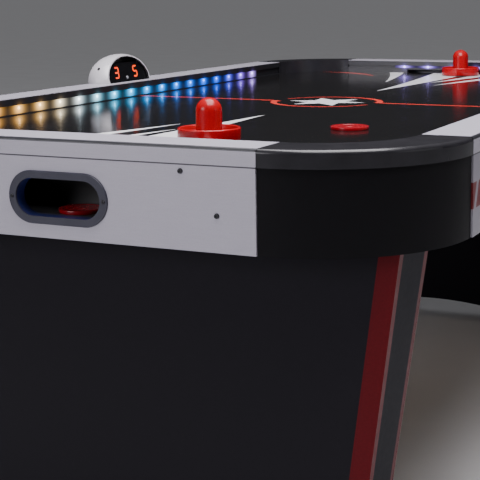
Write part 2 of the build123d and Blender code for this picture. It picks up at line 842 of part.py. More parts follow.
def make_blower():
    """Centrifugal blower under the plenum floor: cup, intake grille that holds the motor, and impeller."""
    cup_top = plenum_floor_top - plenum_floor_thick
    grille_thick = 4.0
    with BuildPart() as cup:
        with BuildSketch(Plane.XY.offset(fan_bottom)):
            Circle(fan_radius)
        extrude(amount=cup_top - fan_bottom)
        with BuildSketch(Plane.XY.offset(cup_top)):
            Circle(fan_radius - fan_wall)
        extrude(amount=-(cup_top - fan_bottom - fan_wall), mode=Mode.SUBTRACT)
        with BuildSketch(Plane.XY.offset(fan_bottom)):
            Circle(76)
        extrude(amount=fan_wall, mode=Mode.SUBTRACT)
        with BuildSketch(Plane.XY.offset(cup_top - fan_wall)):
            with PolarLocations(fan_radius + 8, 4):
                Circle(11)
            Circle(fan_radius - 1, mode=Mode.SUBTRACT)
            with PolarLocations(fan_radius + 11, 4):
                Circle(2.5, mode=Mode.SUBTRACT)
        extrude(amount=fan_wall)
    save(cup.part, "blower_housing")
    with BuildPart() as grille:
        with BuildSketch(Plane.XY.offset(fan_bottom - grille_thick)):
            Circle(84)
            Circle(74, mode=Mode.SUBTRACT)
            Circle(motor_radius + 4)
            with PolarLocations((motor_radius + 79) / 2, 12):
                Rectangle(79 - motor_radius, 3.5)
        extrude(amount=grille_thick)
    save(grille.part, "blower_grille")
    with BuildPart() as motor:
        with BuildSketch(Plane.XY.offset(fan_bottom)):
            Circle(motor_radius)
        extrude(amount=30)
        fillet(motor.edges().group_by(Axis.Z)[-1], 3)
        with BuildSketch(Plane.XY.offset(fan_bottom + 30)):
            Circle(shaft_radius)
        extrude(amount=18)
    save(motor.part, "blower_motor")
    disc = fan_bottom + 33
    with BuildPart() as impeller:
        with BuildSketch(Plane.XY.offset(disc)):
            Circle(impeller_radius)
        extrude(amount=2)
        with BuildSketch(Plane.XY.offset(disc)):
            Circle(12)
        extrude(amount=14)
        with BuildSketch(Plane.XY.offset(disc + 2)):
            with PolarLocations(55, 12):
                with Locations(Rot(0, 0, 18)):
                    Rectangle(58, 2)
        extrude(amount=14)
        with BuildSketch(Plane.XY.offset(disc)):
            Circle(shaft_radius + running_gap)
        extrude(amount=20, mode=Mode.SUBTRACT)
    save(impeller.part, "blower_impeller")


# ---- power inlet --------------------------------------------------------------------------------

socket_depth = 17.0
rocker_rest = 10.0  # degrees the rocker leans when it is off
rocker_drop = 7.5  # the rocker's pivot behind the apron's face
rocker_z = power_z + 14
socket_z = power_z - 13


def make_power_inlet():
    """Appliance inlet with three blades, and above it a rocker switch resting in its off position."""
    wide, tall, thick = power_plate
    body_wide, body_tall, deep = power_body
    with BuildPart() as inlet:
        with BuildSketch(face_plane("left")):
            with Locations((-power_y, power_z)):
                RectangleRounded(wide, tall, 3)
        extrude(amount=-thick)
        with BuildSketch(face_plane("left", thick)):
            with Locations((-power_y, power_z)):
                Rectangle(body_wide, body_tall)
        extrude(amount=-deep)
        with BuildSketch(face_plane("left")):
            with Locations((-power_y, socket_z)):
                RectangleRounded(24, 16.5, 3)
            with Locations((-power_y, rocker_z)):
                Rectangle(rocker_width + 0.8, 2 * rocker_radius + 1)
        extrude(amount=-socket_depth, mode=Mode.SUBTRACT)
        with BuildSketch(face_plane("left", socket_depth)):
            with Locations((-power_y - 7, socket_z), (-power_y, socket_z + 4), (-power_y + 7, socket_z)):
                Rectangle(2, 4)
        extrude(amount=socket_depth - 6)
    save(inlet.part, "power_inlet")
    pivot = (-half_width + rocker_drop, power_y, rocker_z)
    angle = radians(rocker_rest)
    with BuildPart() as rocker:
        with BuildSketch(Plane(pivot, x_dir=(-cos(angle), 0, sin(angle)), z_dir=(0, 1, 0))):
            Circle(rocker_radius)
            with Locations((-rocker_radius, 0)):
                Rectangle(14, 30, mode=Mode.SUBTRACT)
            with BuildLine():
                Polyline((7, -10), (4.6, 0), (7, 10), (20, 10), (20, -10), close=True)
            make_face(mode=Mode.SUBTRACT)
        extrude(amount=rocker_width / 2, both=True)
    save(rocker.part, "power_rocker")


# ---- build everything ---------------------------------------------------------------------------

for side in side_planes():
    make_rail(side)
    make_apron(side)
make_edge_trims()
make_liners("ends", ("front", "back"))
make_liners("sides", ("left", "right"))
make_led_strips()
make_led_lenses()
for name, (sx, sy) in corners.items():
    make_corner_cap(name, sx, sy)
    make_corner_panel(name, sx, sy)
    make_leveler(name, sx, sy)
make_apron_bolts()
make_field()
make_plenum()
make_joists()
make_goal_boxes()
make_return_bezels()
make_bezel_screws()
make_broad_panels()
make_leg_insides()
make_leg_bolts()
make_mallet("near", near_mallet_at)
make_mallet("far", far_mallet_at)
make_puck("field", field_puck_at, field_top)
make_puck("return", return_puck_at, box_floor + box_wall)
make_score_unit()
make_blower()
make_power_inlet()
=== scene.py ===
import math

import bmesh
import bpy
from mathutils import Matrix, Vector
from mathutils.geometry import delaunay_2d_cdt


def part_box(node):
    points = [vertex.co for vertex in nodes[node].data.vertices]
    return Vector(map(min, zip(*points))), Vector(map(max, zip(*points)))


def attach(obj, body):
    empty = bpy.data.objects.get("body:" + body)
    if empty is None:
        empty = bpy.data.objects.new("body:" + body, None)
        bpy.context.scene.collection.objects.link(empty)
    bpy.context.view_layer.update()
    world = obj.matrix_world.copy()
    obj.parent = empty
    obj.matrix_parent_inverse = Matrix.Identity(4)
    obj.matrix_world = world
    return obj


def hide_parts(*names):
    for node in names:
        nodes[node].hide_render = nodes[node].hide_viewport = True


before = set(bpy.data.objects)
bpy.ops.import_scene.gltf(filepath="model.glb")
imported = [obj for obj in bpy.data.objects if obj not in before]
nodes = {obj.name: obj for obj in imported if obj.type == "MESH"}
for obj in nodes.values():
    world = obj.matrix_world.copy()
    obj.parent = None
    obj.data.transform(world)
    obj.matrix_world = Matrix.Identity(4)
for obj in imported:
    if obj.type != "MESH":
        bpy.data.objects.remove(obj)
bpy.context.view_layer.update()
scene = bpy.context.scene

# ---- camera: low, off the table's near right corner ----------------------------------------------


def aim(position, azimuth, down, roll):
    """Camera matrix: azimuth turns left from +Y, down is below the horizon, all in degrees."""
    a, e, r = (math.radians(v) for v in (azimuth, down, roll))
    forward = Vector((-math.sin(a) * math.cos(e), math.cos(a) * math.cos(e), -math.sin(e)))
    right = Vector((math.cos(a), math.sin(a), 0.0))
    up = right.cross(forward)
    right, up = right * math.cos(r) + up * math.sin(r), up * math.cos(r) - right * math.sin(r)
    turn = Matrix((right, up, -forward)).transposed().to_4x4()
    return Matrix.Translation(position) @ turn


camera = bpy.data.objects.new("camera", bpy.data.cameras.new("camera"))
scene.collection.objects.link(camera)
camera.data.sensor_width = 36.0
camera.data.lens = 92.14
camera.data.shift_x = -0.0875
camera.data.shift_y = -0.1208
camera.data.clip_end = 2000.0
camera.matrix_world = aim((1.1426, -2.7758, 1.0462), 24.493, 8.891, -0.519)
scene.camera = camera

# ---- material kit --------------------------------------------------------------------------------


class Net:
    """Short names for building one node material, in object coordinates: the table's own metres."""

    def __init__(self, name):
        self.material = bpy.data.materials.new(name)
        self.material.use_nodes = True
        self.tree = self.material.node_tree
        self.shader = self.tree.nodes["Principled BSDF"]
        self.place = self.tree.nodes.new("ShaderNodeTexCoord").outputs["Object"]
        self.axes = None
        self.paint = None

    def node(self, kind, inputs=(), **settings):
        made = self.tree.nodes.new(kind)
        for key, value in settings.items():
            setattr(made, key, value)
        for key, value in dict(inputs).items():
            self.plug(made.inputs[key], value)
        return made

    def plug(self, socket, value):
        if isinstance(value, bpy.types.NodeSocket):
            self.tree.links.new(value, socket)
        else:
            socket.default_value = value

    def maths(self, operation, a, b=0.0, clamp=False):
        made = self.node("ShaderNodeMath", {0: a, 1: b}, operation=operation, use_clamp=clamp)
        return made.outputs[0]

    def xyz(self):
        if self.axes is None:
            split = self.node("ShaderNodeSeparateXYZ", {0: self.place})
            self.axes = [split.outputs[i] for i in range(3)]
        return self.axes

    def above(self, value, edge, soft=0.0004):
        """1 where value is over edge, with a thin soft border."""
        return self.maths("MULTIPLY", self.maths("SUBTRACT", value, edge), 1 / soft, clamp=True)

    def band(self, value, low, high, soft=0.0004):
        """1 where value is between low and high, with thin soft borders."""
        under_high = self.maths("SUBTRACT", 1.0, self.above(value, high, soft))
        return self.maths("MULTIPLY", self.above(value, low, soft), under_high)

    def stretched(self, scale):
        return self.node("ShaderNodeMapping", {"Vector": self.place, "Scale": scale}).outputs[0]

    def noise(self, scale, detail=3.0, rough=0.55, vector=None):
        spec = {"Vector": vector or self.place, "Scale": scale, "Detail": detail, "Roughness": rough}
        return self.node("ShaderNodeTexNoise", spec).outputs["Fac"]

    def ramp(self, value, stops):
        made = self.node("ShaderNodeValToRGB", {0: value})
        elements = made.color_ramp.elements
        while len(elements) < len(stops):
            elements.new(0.5)
        for element, (at, colour) in zip(elements, stops):
            element.position = at
            element.color = (*colour, 1.0)
        return made.outputs[0]

    def mix(self, factor, a, b):
        made = self.node("ShaderNodeMix", {"Factor": factor}, data_type="RGBA")
        sockets = [s for s in made.inputs if s.type == "RGBA"]
        for socket, value in zip(sockets, (a, b)):
            self.plug(socket, value if isinstance(value, bpy.types.NodeSocket) else (*value, 1.0))
        return [s for s in made.outputs if s.type == "RGBA"][0]

    def span(self, value, low, high):
        spec = {"Value": value, "To Min": low, "To Max": high}
        return self.node("ShaderNodeMapRange", spec).outputs[0]

    def bump(self, height, strength, distance):
        spec = {"Height": height, "Strength": strength, "Distance": distance}
        self.plug(self.shader.inputs["Normal"], self.node("ShaderNodeBump", spec).outputs[0])

    def set(self, **values):
        names = {
            "colour": "Base Color", "rough": "Roughness", "metal": "Metallic", "coat": "Coat Weight",
            "coat_rough": "Coat Roughness", "specular": "Specular IOR Level", "sheen": "Sheen Weight",
            "glow": "Emission Color", "glow_strength": "Emission Strength",
        }
        for key, value in values.items():
            self.plug(self.shader.inputs[names[key]], value)

    def colour(self):
        """The socket that feeds the shader's colour so far."""
        return self.shader.inputs["Base Color"].links[0].from_socket


def shade(colour, factor):
    return tuple(min(1.0, c * factor) for c in colour)


def moulded(name, colour, rough=0.4, spread=0.12, grain=900.0, **extra):
    """Moulded plastic: faint cloudy colour, a fine spark-eroded grain and uneven gloss."""
    net = Net(name)
    cloud = net.noise(14.0, 4.0)
    fine = net.noise(grain, 2.0)
    net.set(colour=net.ramp(cloud, [(0.3, shade(colour, 1 - spread)), (0.7, shade(colour, 1 + spread))]))
    net.set(rough=net.span(net.noise(60.0, 3.0), rough - 0.05, rough + 0.07), **extra)
    net.bump(fine, 0.35, 0.00006)
    return net


def board(name, colour, rough, along=(1.0, 1.0, 1.0), speck=0.10, metal=0.0, **extra):
    """Laminated board: mottled speckle, faint brushed streaks along one axis and uneven gloss."""
    net = Net(name)
    mottle = net.noise(420.0, 3.0, 0.7)
    streak = net.noise(1.0, 3.0, 0.6, net.stretched(along))
    both = net.maths("ADD", net.maths("MULTIPLY", mottle, 0.6), net.maths("MULTIPLY", streak, 0.4))
    stops = [(0.32, shade(colour, 1 - speck)), (0.5, colour), (0.68, shade(colour, 1 + speck))]
    net.paint = net.ramp(both, stops)
    net.set(colour=net.paint, rough=net.span(streak, rough - 0.06, rough + 0.08), metal=metal, **extra)
    net.bump(both, 0.25, 0.00005)
    return net


def joint_shaded(net):
    """The board's paint, with painted shade along the joint between a rail and its apron."""
    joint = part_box("rail_front")[0][2]
    seam_shade_colour = (0.045, 0.042, 0.05)
    return net.mix(net.band(net.xyz()[2], joint - 0.0016, joint + 0.0006), net.paint, seam_shade_colour)


def dress(material, *names):
    """Give CAD nodes a material, in every slot they have."""
    for name in names:
        slots = nodes[name].data.materials
        if not slots:
            slots.append(material)
        for i in range(len(slots)):
            slots[i] = material


silver = (0.340, 0.325, 0.375)
brushed_x, brushed_y, unbrushed = (22.0, 700.0, 700.0), (700.0, 22.0, 700.0), (90.0, 90.0, 90.0)
corners = ("front_right", "front_left", "back_right", "back_left")
sides = ("front", "back", "left", "right")

silver_x = board("silver_laminate_across", silver, 0.42, brushed_x, 0.07, 0.30, specular=0.4)
silver_y = board("silver_laminate_along", silver, 0.42, brushed_y, 0.07, 0.30, specular=0.4)
# painted shade: a dark band along the rail joint, on both silver laminates
for silver_net in (silver_x, silver_y):
    silver_net.set(colour=joint_shaded(silver_net))
dress(silver_x.material, "rail_front", "rail_back", "apron_front", "apron_back")
dress(silver_y.material, "rail_left", "rail_right")


def side_graphic():
    """Silver laminate, darkened as painted shade, with a row of plain slanted bars in dark red towards each
    end.
    """
    bar_height, bar_pitch, bar_share, slant, first_bar = 0.043, 0.062, 0.80, 0.35, 0.62
    # painted shade: the side aprons get the silver at 0.62 of its brightness
    net = board("silver_laminate_barred_painted_shade", shade(silver, 0.62), 0.42, brushed_y, 0.07, 0.15, specular=0.2)
    _, y, z = net.xyz()
    low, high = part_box("apron_right")
    middle = (low[2] + high[2]) / 2
    tall = net.band(z, middle - bar_height / 2, middle + bar_height / 2)
    leaning = net.maths("MULTIPLY", net.maths("SUBTRACT", z, middle), slant)
    along = net.maths("ADD", net.maths("ABSOLUTE", y), leaning)
    beat = net.maths("FRACT", net.maths("DIVIDE", along, bar_pitch))
    bars = net.maths("MULTIPLY", net.band(beat, 0.0, bar_share, 0.006), net.above(along, first_bar))
    mask = net.maths("MULTIPLY", tall, bars)
    worn = net.mix(net.noise(300.0, 3.0), (0.085, 0.010, 0.013), (0.14, 0.016, 0.020))
    # the bars over the silver, which carries painted shade along the rail joint
    net.set(colour=net.mix(mask, joint_shaded(net), worn))
    return net.material


dress(side_graphic(), "apron_left", "apron_right")


def gloss_black(name, colour, rough):
    """Glossy moulded black: orange-peel ripple, a clear skin and faint haze."""
    net = Net(name)
    net.set(colour=net.ramp(net.noise(30.0, 4.0), [(0.3, shade(colour, 0.85)), (0.7, shade(colour, 1.2))]))
    net.set(rough=net.span(net.noise(45.0, 3.0), rough - 0.04, rough + 0.05))
    net.set(coat=0.08, coat_rough=0.12, specular=0.25)
    net.bump(net.noise(260.0, 2.0), 0.12, 0.00008)
    return net.material


corner_satin = board("corner_satin", (0.0050, 0.0047, 0.0056), 0.45, (60.0, 60.0, 60.0), 0.16, specular=0.06)
blower_black = moulded("blower_black", (0.016, 0.016, 0.017), 0.45)
dress(gloss_black("cap_gloss", (0.014, 0.0135, 0.016), 0.24), *[f"corner_cap_{c}" for c in corners])
dress(corner_satin.material, *[f"corner_panel_{c}" for c in corners])
# painted shade: the rail-top edge trim is dark in place of the shading on a rounded edge
dress(moulded("edge_trim_painted_shade", (0.016, 0.016, 0.020), 0.36).material, "rail_edge_trims")
dress(moulded("base_black", (0.010, 0.010, 0.012), 0.40).material, "score_base")
dress(moulded("goal_black", (0.010, 0.010, 0.011), 0.5).material, "goal_boxes")
dress(moulded("foot_rubber", (0.018, 0.018, 0.018), 0.6).material, *[f"leveler_{c}" for c in corners])
dress(blower_black.material, "blower_housing", "blower_grille", "blower_impeller", "power_inlet")
dress(moulded("rocker_black", (0.012, 0.012, 0.012), 0.2).material, "power_rocker")


def hood_silver():
    """Silver-painted moulding, with painted shade: a darker grey inside the hood."""
    net = moulded("score_silver", (0.40, 0.39, 0.415), 0.38, 0.04, 1400.0, metal=0.1)
    low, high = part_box("score_housing")
    centre = tuple((a + b) / 2 for a, b in zip(low[:2], high[:2])) + (low[2],)
    outwards = net.node("ShaderNodeVectorMath", {0: net.place, 1: centre}, operation="SUBTRACT").outputs[0]
    facing = net.tree.nodes.new("ShaderNodeTexCoord").outputs["Normal"]
    facing_out = net.node("ShaderNodeVectorMath", {0: outwards, 1: facing}, operation="DOT_PRODUCT")
    outer_side = net.above(facing_out.outputs["Value"], 0.0, 0.002)
    # painted shade: the inner faces of the hood get this darker grey
    grain = net.ramp(net.noise(500.0, 3.0), [(0.3, (0.16, 0.157, 0.167)), (0.7, (0.29, 0.286, 0.30))])
    net.set(colour=net.mix(outer_side, grain, net.colour()))
    return net.material


dress(hood_silver(), "score_housing")
dress(moulded("button_grey", (0.20, 0.20, 0.22), 0.4).material, "score_reset_button")


def bezel_slate():
    """Slate moulding whose sleeve, behind the face, has painted deep blue light."""
    net = moulded("bezel_slate", (0.028, 0.028, 0.042), 0.40, specular=0.35)
    _, y, _ = net.xyz()
    face = max(abs(v) for v in (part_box("apron_front")[0][1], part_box("apron_back")[1][1]))
    sleeve_blue_light = net.above(net.maths("SUBTRACT", face - 0.001, net.maths("ABSOLUTE", y)), 0.0)
    # painted light: deep blue on the sleeve behind the face
    net.set(colour=net.mix(sleeve_blue_light, net.colour(), (0.010, 0.014, 0.075)))
    return net.material


dress(bezel_slate(), "return_bezels")


def turned_metal(name, colour, rough):
    """Metal with fine machining streaks and a little tarnish."""
    net = Net(name)
    tarnish = net.noise(90.0, 4.0)
    net.set(colour=net.ramp(tarnish, [(0.3, shade(colour, 0.7)), (0.7, colour)]), metal=1.0)
    net.set(rough=net.span(net.noise(500.0, 2.0), rough - 0.08, rough + 0.1))
    net.bump(net.noise(1200.0, 2.0), 0.3, 0.00003)
    return net.material


dress(turned_metal("black_oxide", (0.06, 0.06, 0.065), 0.35), "apron_bolts", "bezel_screws", "score_screws")
dress(turned_metal("zinc", (0.55, 0.56, 0.58), 0.35), "apron_nuts", "leg_bolts")
dress(turned_metal("motor_can", (0.22, 0.22, 0.23), 0.45), "blower_motor")


def raw_board():
    """Fibreboard: pale brown with short fibres."""
    net = Net("fibreboard")
    fibre = net.noise(1.0, 5.0, 0.7, net.stretched((260.0, 90.0, 260.0)))
    net.set(colour=net.ramp(fibre, [(0.3, (0.20, 0.135, 0.080)), (0.7, (0.34, 0.245, 0.155))]), rough=0.85)
    net.bump(fibre, 0.5, 0.0003)
    return net.material


dress(raw_board(), "plenum_frame", "plenum_floor", "cabinet_joists", "leg_top_boards", "leg_foot_blocks")


def leg_panel():
    """Satin black laminate with a red stripe along each slanted edge of the broad faces."""
    run_in, stripe_width = 0.087, 0.034
    net = board("leg_black_striped", (0.0072, 0.0063, 0.0092), 0.45, unbrushed, 0.15, specular=0.08)
    x, _, z = net.xyz()
    low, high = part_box("leg_front_outer_panel")
    edge = net.maths("MULTIPLY", net.maths("SUBTRACT", z, high[2]), run_in / (high[2] - low[2]))
    inward = net.maths("SUBTRACT", net.maths("ADD", edge, high[0]), net.maths("ABSOLUTE", x))
    stripe = net.band(inward, -0.01, stripe_width)
    red = net.mix(net.noise(240.0, 3.0), (0.062, 0.0020, 0.0042), (0.088, 0.0036, 0.0065))
    net.set(colour=net.mix(stripe, net.paint, red))
    return net.material


dress(leg_panel(), "leg_front_outer_panel", "leg_back_outer_panel", "leg_inner_panels")
leg_grey = board("leg_grey", (0.0135, 0.0130, 0.0165), 0.65, unbrushed, 0.12, specular=0.05)
dress(leg_grey.material, "leg_side_panels")


def felt():
    """Dark grey felt with a matted nap."""
    net = Net("felt")
    fibre = net.noise(900.0, 5.0, 0.8)
    net.set(colour=net.ramp(fibre, [(0.3, (0.02, 0.02, 0.02)), (0.7, (0.07, 0.07, 0.07))]))
    net.set(rough=0.95, sheen=0.4)
    net.bump(fibre, 0.7, 0.0005)
    return net.material


dress(felt(), "mallet_near_felt", "mallet_far_felt")


def display_dark():
    """Smoked window: glossy black with a fine dot mask."""
    net = Net("display_dark")
    cells = net.node("ShaderNodeTexVoronoi", {"Vector": net.place, "Scale": 900.0}).outputs[0]
    net.set(colour=net.ramp(cells, [(0.2, (0.002, 0.002, 0.0025)), (0.7, (0.006, 0.006, 0.007))]))
    net.set(rough=net.span(net.noise(70.0), 0.12, 0.20), specular=0.15)
    return net.material


def lit_red():
    """Lit digit segments: a glow that varies at random between red and orange."""
    net = Net("digit_lit")
    hot = net.noise(240.0, 2.0)
    glow = net.ramp(hot, [(0.38, (1.0, 0.008, 0.0)), (0.62, (1.0, 0.16, 0.002))])
    net.set(colour=(0.5, 0.02, 0.01, 1.0), rough=0.4, glow=glow, glow_strength=1.3)
    return net.material


dress(display_dark(), "score_display")
dress(lit_red(), "score_digits")

# ---- rail lights: colours that run along the table, each light with its own glow -----------------

light_colours = [
    (0.00, (0.55, 0.45, 1.00)),
    (0.14, (0.90, 0.62, 0.70)),
    (0.22, (1.00, 0.46, 0.08)),
    (0.29, (1.00, 0.56, 0.16)),
    (0.33, (1.00, 0.80, 0.50)),
    (0.37, (0.75, 0.92, 1.00)),
    (0.41, (0.30, 0.78, 1.00)),
    (0.45, (0.05, 0.58, 1.00)),
    (0.52, (0.006, 0.36, 1.00)),
    (0.60, (0.004, 0.21, 1.00)),
    (0.71, (0.005, 0.11, 1.00)),
    (0.76, (0.10, 0.09, 1.00)),
    (0.80, (0.34, 0.16, 1.00)),
    (0.84, (0.55, 0.40, 1.00)),
    (1.00, (0.34, 0.22, 1.00)),
]
led_pitch, lens_radius = 0.080, 0.0036
side_lights_reach, end_lights_reach = 0.720, 0.200


def run_colour(net):
    """The lights' colour where a point lies along the table."""
    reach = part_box("playfield")[1][1]
    along = net.maths("ADD", net.maths("MULTIPLY", net.xyz()[1], 0.5 / reach), 0.5)
    return net.ramp(along, light_colours)


def halo(net, spread, power):
    """Falls off round each light: along the rail it repeats every pitch, and it fades up and down.

    The side rows have lights half a pitch from the middle. The end rows have one on the middle, a little
    higher.
    """
    x, y, z = net.xyz()
    low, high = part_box("led_lenses")
    from_middle_x, from_middle_y = net.maths("ABSOLUTE", x), net.maths("ABSOLUTE", y)
    at_end = net.above(from_middle_y, high[1] - 0.012)
    at_side = net.maths("SUBTRACT", 1.0, at_end)
    side_beat = net.maths("FRACT", net.maths("DIVIDE", y, led_pitch))
    side_run = net.maths("SUBTRACT", side_beat, 0.5)
    end_beat = net.maths("FRACT", net.maths("ADD", net.maths("DIVIDE", x, led_pitch), 0.5))
    end_run = net.maths("SUBTRACT", end_beat, 0.5)
    run = net.maths("ADD", net.maths("MULTIPLY", end_run, at_end), net.maths("MULTIPLY", side_run, at_side))
    end_rise = net.maths("MULTIPLY", at_end, high[2] - low[2] - 2 * lens_radius)
    middle = net.maths("ADD", end_rise, low[2] + lens_radius)
    across = net.maths("MULTIPLY", run, led_pitch / spread)
    rise = net.maths("DIVIDE", net.maths("SUBTRACT", z, middle), spread)
    far = net.maths("ADD", net.maths("MULTIPLY", across, across), net.maths("MULTIPLY", rise, rise))
    past_side = net.maths("MULTIPLY", net.above(from_middle_y, side_lights_reach, 0.01), at_side)
    past_end = net.maths("MULTIPLY", net.above(from_middle_x, end_lights_reach, 0.01), at_end)
    lit = net.maths("SUBTRACT", 1.0, net.maths("ADD", past_side, past_end), clamp=True)
    glow = net.maths("DIVIDE", power, net.maths("POWER", net.maths("ADD", far, 1.0), 2.2))
    return net.maths("MULTIPLY", glow, lit)


def lens_lit():
    """Lit lenses whose colour runs along the table."""
    net = Net("lens_lit")
    frost = net.noise(700.0, 2.0)
    net.set(colour=net.ramp(frost, [(0.3, (0.70, 0.75, 0.85)), (0.7, (0.85, 0.88, 0.95))]), rough=0.3)
    net.set(glow=run_colour(net), glow_strength=5.0)
    return net.material


def strip_lit():
    """Dark strip along the recess that catches its lights' glow."""
    net = moulded("circuit_strip", (0.012, 0.012, 0.014), 0.45, specular=0.15)
    net.set(glow=run_colour(net), glow_strength=halo(net, 0.019, 3.2))
    return net.material


def liner_black():
    """Black inner wall of a rail, with a coloured glow round each light."""
    net = moulded("liner_black", (0.010, 0.010, 0.012), 0.30, coat=0.2, coat_rough=0.2)
    net.set(glow=run_colour(net), glow_strength=halo(net, 0.010, 0.55))
    return net.material


dress(lens_lit(), "led_lenses")
dress(strip_lit(), "led_strips")
dress(liner_black(), "rail_liners_ends", "rail_liners_sides")

# ---- playing field: a sheet with real air holes and inlaid graphics ------------------------------

field_low, field_high = (tuple(c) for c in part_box("playfield"))
half_x, half_y = field_high[0], field_high[1]
field_corner, goal_half, goal_notch = 0.181, 0.150, 0.008
hole_pitch, hole_radius, hole_depth, hole_limit = 0.0254, 0.0006, 0.004, 0.155
hole_columns, hole_rows, hole_sides = 19, 40, 8  # columns and rows to each side of the middle ones
ring_radius = 0.130


def arc(cx, cy, radius, start, end, steps):
    """Points round a centre from one angle to another, in degrees."""
    turns = [math.radians(start + (end - start) * i / steps) for i in range(steps + 1)]
    return [(cx + radius * math.cos(t), cy + radius * math.sin(t)) for t in turns]


def rounded_outline(hx, hy, radius, goal, notch, steps=20):
    """The field's edge, with its goal notches, anticlockwise from the right rail."""
    top = arc(hx - radius, hy - radius, radius, 0, 90, steps) + [(goal, hy), (goal, hy - notch)]
    top += [(-x, y) for x, y in reversed(top)]
    return top + [(-x, -y) for x, y in top]


def disc(cx, cy, radius, count):
    """Points round a circle, without the first one again at the end."""
    return arc(cx, cy, radius, 0, 360, count)[:-1]


def ribbon(points, widths):
    """A closed shape around a line of points, as wide as widths says at each."""
    left, right = [], []
    for i, (x, y) in enumerate(points):
        x0, y0 = points[max(i - 1, 0)]
        x1, y1 = points[min(i + 1, len(points) - 1)]
        long = math.hypot(x1 - x0, y1 - y0)
        nx, ny = (y0 - y1) / long, (x1 - x0) / long
        w = widths[i] / 2
        left.append((x + nx * w, y + ny * w))
        right.append((x - nx * w, y - ny * w))
    return left + right[::-1]


def bow(a, b, bulge, steps=16):
    """Points from a to b that bend sideways by bulge at the middle."""
    (ax, ay), (bx, by) = a, b
    long = math.hypot(bx - ax, by - ay)
    nx, ny = (ay - by) / long, (bx - ax) / long
    out = []
    for i in range(steps + 1):
        t = i / steps
        side = bulge * 4 * t * (1 - t)
        out.append((ax + (bx - ax) * t + nx * side, ay + (by - ay) * t + ny * side))
    return out


def taper(start, end, steps=16):
    """Widths that run evenly from start to end."""
    return [start + (end - start) * i / steps for i in range(steps + 1)]


def half_turn(shape):
    return [(-x, -y) for x, y in shape]


def mirrored(shape):
    return [(-x, y) for x, y in shape][::-1]


def field_shapes():
    """Red and white areas of the print, half of them and then the same turned round by 180 degrees."""
    red, white = [], []
    line_width, line_end, line_reach, goal_wall = 0.0125, 0.529, 0.385, -1.0545
    line = [(line_end - line_reach * t, -0.004 + 0.010 * t * t) for t in (0.0, 0.25, 0.5, 0.75, 1.0)]
    red.append(ribbon(line, [line_width] * len(line)))
    red.append(ribbon(arc(0.0, 0.0, ring_radius, 4, 160, 40), taper(0.0165, 0.0065, 40)))
    hook = [(0.144, 0.002), (0.146, 0.010), (0.128, 0.034), (0.112, 0.020), (0.124, 0.012), (0.126, 0.004)]
    red.append(hook)
    corner_line = bow((0.205, -0.885), (0.430, -1.020), -0.030)
    red.append(ribbon(corner_line, [0.003 + 0.014 * math.sin(math.pi * i / 16) for i in range(17)]))
    red.append(mirrored(red[-1]))
    white.append(ribbon(bow((0.0, goal_wall), (-0.006, -0.345), 0.008), taper(0.118, 0.0015)))
    white.append(ribbon(bow((-0.128, goal_wall), (-0.054, -0.657), 0.004), taper(0.058, 0.0015)))
    white.append(ribbon(bow((0.185, goal_wall), (0.081, -0.655), 0.006), taper(0.046, 0.0015)))
    white.append(mirrored(ribbon(bow((0.232, goal_wall), (0.093, -0.566), 0.006), taper(0.070, 0.0015))))
    red += [half_turn(s) for s in red]
    white += [half_turn(s) for s in white]
    tips, dips = disc(0.0, 0.0, 0.100, 6), disc(0.0, 0.0, 0.046, 12)[1::2]
    white.append([point for pair in zip(tips, dips) for point in pair])
    return red, white


def inside(shape, x, y):
    """Whether a point is in a closed shape: a line from it crosses the edge an odd number of times."""
    hit = False
    for (x0, y0), (x1, y1) in zip(shape, shape[1:] + shape[:1]):
        if (y0 > y) != (y1 > y) and x < (x1 - x0) * (y - y0) / (y1 - y0) + x0:
            hit = not hit
    return hit


def shape_box(shape):
    """Lowest x and y, then highest x and y."""
    xs, ys = zip(*shape)
    return min(xs), min(ys), max(xs), max(ys)


def field_paint(name, colour, rough):
    """Printed lacquer on the field: slight cloud, dust-fine speckle and soft orange peel."""
    net = Net(name)
    cloud = net.noise(9.0, 5.0)
    net.set(colour=net.ramp(cloud, [(0.3, shade(colour, 0.92)), (0.7, shade(colour, 1.08))]))
    net.set(rough=net.span(net.noise(35.0, 4.0), rough - 0.02, rough + 0.03))
    net.bump(net.noise(120.0, 2.0), 0.05, 0.00005)
    return net.material


def hole_places():
    """Centres of the air holes: a square grid over the field that stops short of its round corners."""
    places = []
    for i in range(-hole_columns, hole_columns + 1):
        for j in range(-hole_rows, hole_rows + 1):
            x, y = i * hole_pitch, j * hole_pitch
            past_x, past_y = abs(x) - (half_x - field_corner), abs(y) - (half_y - field_corner)
            if past_x <= 0 or past_y <= 0 or math.hypot(past_x, past_y) <= hole_limit:
                places.append((x, y))
    return places


def flat_sheet(loops):
    """Points and triangles of a sheet that has every loop as edges."""
    points, edges = [], []
    for loop in loops:
        first = len(points)
        points.extend(Vector(p) for p in loop)
        edges.extend((first + i, first + (i + 1) % len(loop)) for i in range(len(loop)))
    verts, _, faces, _, _, _ = delaunay_2d_cdt(points, edges, [], 0, 1e-6)
    return verts, faces


def within(boxed_shapes, x, y):
    """Whether a point is in any of the shapes, each given after its box."""
    return any(b[0] <= x <= b[2] and b[1] <= y <= b[3] and inside(s, x, y) for b, s in boxed_shapes)


def in_hole(drilled, x, y):
    """Whether a point of the sheet is over one of the drilled holes."""
    near = (round(x / hole_pitch) * hole_pitch, round(y / hole_pitch) * hole_pitch)
    inner_radius = 0.97 * hole_radius
    return math.hypot(x - near[0], y - near[1]) < inner_radius and near in drilled


